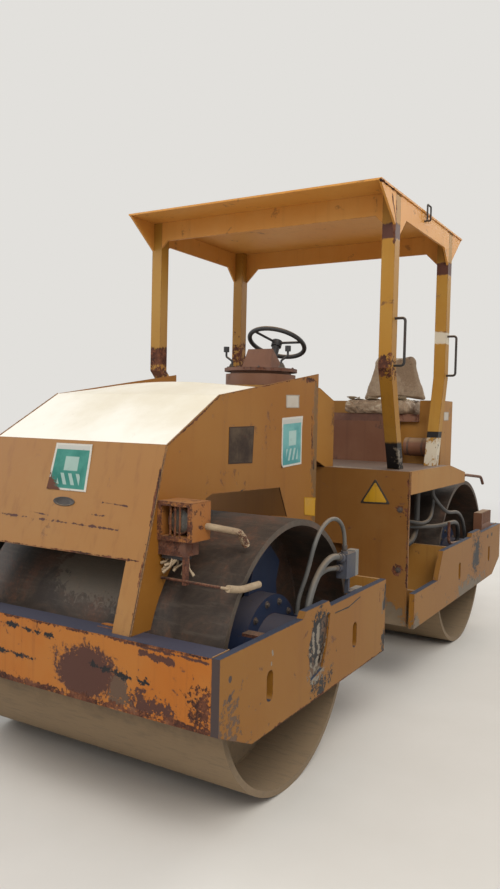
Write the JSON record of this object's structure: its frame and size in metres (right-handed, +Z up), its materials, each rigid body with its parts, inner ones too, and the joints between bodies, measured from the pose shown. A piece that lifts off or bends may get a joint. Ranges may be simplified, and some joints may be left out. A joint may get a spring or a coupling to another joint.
{
  "type": "road roller",
  "caption": "Articulated tandem road roller with smooth drums, sloping hood, side plates, open platform with seat and a flat canopy.",
  "frame": {"origin": "on the ground, midway between the two drum axles and midway between the side plates", "axes": "+X forward along the machine, +Y to the machine's left, +Z up"},
  "size_m": [3.942, 1.684, 2.7099],
  "materials": {
    "ochre_paint": "worn satin",
    "orange_paint": "cracked and rusty",
    "canopy_paint": "faded satin",
    "brown_primer": "matt",
    "drum_steel": "dusty, rust mottled",
    "blue_casting": "dusty gloss",
    "dark_steel": "oily",
    "bright_steel": "polished",
    "black_plastic": "matt",
    "rusty_steel": "rusted through",
    "lamp_glass": "dusty",
    "seat_vinyl": "cracked, dusty",
    "hose_rubber": "dusty"
  },
  "bodies": {
    "rear_frame": {"air_cleaner": "brown_primer", "barrel_bracket": "dark_steel", "bay_lines": "hose_rubber", "bay_pipes": "rusty_steel", "canopy_front_posts": "canopy_paint", "canopy_rear_posts": "canopy_paint", "canopy_roof": "canopy_paint", "console": "brown_primer", "console_plate": "rusty_steel", "control_levers": "black_plastic", "cowl": "ochre_paint", "cowl_ring": "orange_paint", "deck": "brown_primer", "deck_bands": "ochre_paint", "engine_block": "dark_steel", "engine_cover": "ochre_paint", "engine_cover_legs": "ochre_paint", "engine_rails": "dark_steel", "handle_bars": "dark_steel", "hitch_lugs": "dark_steel", "oil_filter": "brown_primer", "rear_beam": "orange_paint", "rear_bulkhead": "ochre_paint", "rear_cross_member": "ochre_paint", "rear_drum_mounts": "blue_casting", "rear_front_wall": "ochre_paint", "rear_side_plates": "ochre_paint", "roof_beams": "canopy_paint", "seat_back": "seat_vinyl", "seat_base": "brown_primer", "seat_cushion": "seat_vinyl", "seat_rail": "rusty_steel", "side_tank": "ochre_paint", "steering_column": "black_plastic", "tow_lugs": "ochre_paint", "wall_ties": "ochre_paint"},
    "front_drum": {"front_drum": "drum_steel"},
    "rear_drum": {"rear_drum": "drum_steel"},
    "hitch": {"hitch": "dark_steel"},
    "steering_barrel": {"steering_barrel": "dark_steel"},
    "steering_rod": {"steering_rod": "bright_steel"},
    "steering_wheel": {"steering_wheel": "black_plastic"},
    "front_frame": {"drain_hose": "hose_rubber", "feed_hose": "hose_rubber", "front_beam": "orange_paint", "front_cross_member": "ochre_paint", "front_drum_mounts": "blue_casting", "front_pipes": "rusty_steel", "front_side_plates": "ochre_paint", "hood_front": "ochre_paint", "hood_sides": "ochre_paint", "hood_top": "ochre_paint", "hose_junction": "dark_steel", "lamp_brackets": "rusty_steel", "lamp_guards": "orange_paint", "lamps": "lamp_glass", "return_hose": "hose_rubber"}
  },
  "joints": [
    {"name": "steering", "type": "hinge", "parent": "rear_frame", "child": "hitch", "pos_m": [0.29, 0, 0.6], "axis": [0, 0, 1], "range_deg": [-28, 28]},
    {"name": "tilt", "type": "hinge", "parent": "hitch", "child": "front_frame", "pos_m": [0.479, 0, 0.6], "axis": [1, 0, 0], "range_deg": [-5, 5]},
    {"name": "front_drum_roll", "type": "hinge", "parent": "front_frame", "child": "front_drum", "pos_m": [1.258, 0, 0.55], "axis": [0, 1, 0], "continuous": true},
    {"name": "rear_drum_roll", "type": "hinge", "parent": "rear_frame", "child": "rear_drum", "pos_m": [-1.258, 0, 0.55], "axis": [0, 1, 0], "continuous": true},
    {"name": "wheel_turn", "type": "hinge", "parent": "rear_frame", "child": "steering_wheel", "pos_m": [0.11, 0, 1.94], "axis": [-0.4226, 0, 0.9063], "continuous": true},
    {"name": "barrel_swing", "type": "hinge", "parent": "rear_frame", "child": "steering_barrel", "pos_m": [-0.28, -0.28, 0.6], "axis": [0, 0, 1], "range_deg": [-5, 5]},
    {"name": "rod_slide", "type": "slide", "parent": "steering_barrel", "child": "steering_rod", "axis": [0.9975, 0.0712, 0], "range_m": [-0.12, 0.12]}
  ],
  "couplings": [
    {"joint": "barrel_swing", "follows": "steering", "ratio": 0.148},
    {"joint": "rod_slide", "follows": "steering", "m_per_rad": 0.233}
  ]
}
